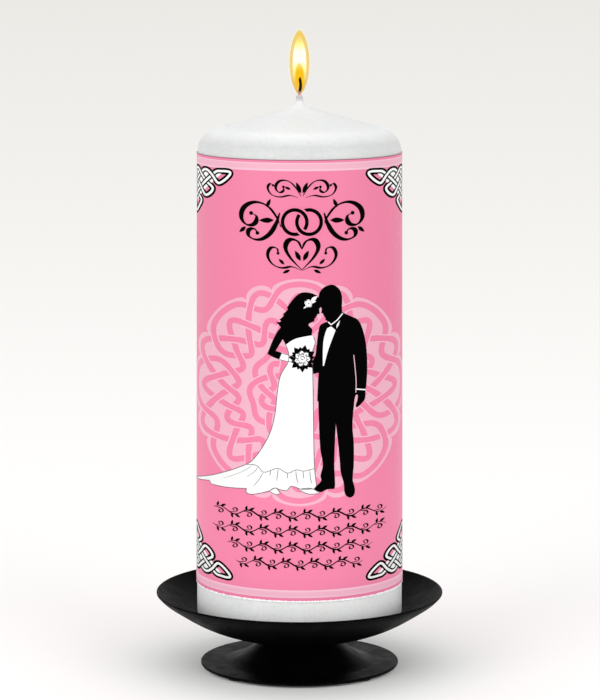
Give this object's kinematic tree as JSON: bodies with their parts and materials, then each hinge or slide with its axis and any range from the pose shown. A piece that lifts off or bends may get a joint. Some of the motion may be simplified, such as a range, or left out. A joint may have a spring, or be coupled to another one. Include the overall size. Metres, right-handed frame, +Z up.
{
  "type": "unity candle",
  "caption": "Round white wax pillar candle with a printed pink film sleeve, lit, standing in a black footed metal dish.",
  "frame": {"origin": "on the table, under the centre of the holder's foot", "axes": "+Z up along the wick; -Y is the front of the print; the film's lap is at +Y"},
  "size_m": [0.1126, 0.1126, 0.2506],
  "materials": {
    "wax_white": "satin over-dip wax",
    "wax_core": "pressed wax granules",
    "wick_cotton": "braided cotton, charred at the tip",
    "tin": "tinplate",
    "film_pink": "satin printed film",
    "ink_black": "printed ink",
    "ink_white": "printed ink",
    "ink_pale_pink": "printed ink",
    "ink_grey": "printed ink",
    "flame": "glowing gas",
    "black_coat": "satin black powder coat",
    "zinc_steel": "bright zinc plate",
    "felt": "pressed felt"
  },
  "bodies": {
    "holder": {"dish": "black_coat", "foot": "black_coat", "centre_screw": "zinc_steel", "washer": "zinc_steel", "centre_nut": "zinc_steel", "felt_pad_1": "felt", "felt_pad_2": "felt", "felt_pad_3": "felt", "felt_pad_4": "felt"},
    "candle": {"wax_coat": "wax_white", "wax_core": "wax_core", "wick": "wick_cotton", "wick_sustainer": "tin", "printed_film": "film_pink", "flame": "flame"}
  },
  "joints": [
    {"name": "candle_lift", "type": "slide", "parent": "holder", "child": "candle", "axis": [0, 0, 1], "range_m": [0, 0.06]}
  ]
}
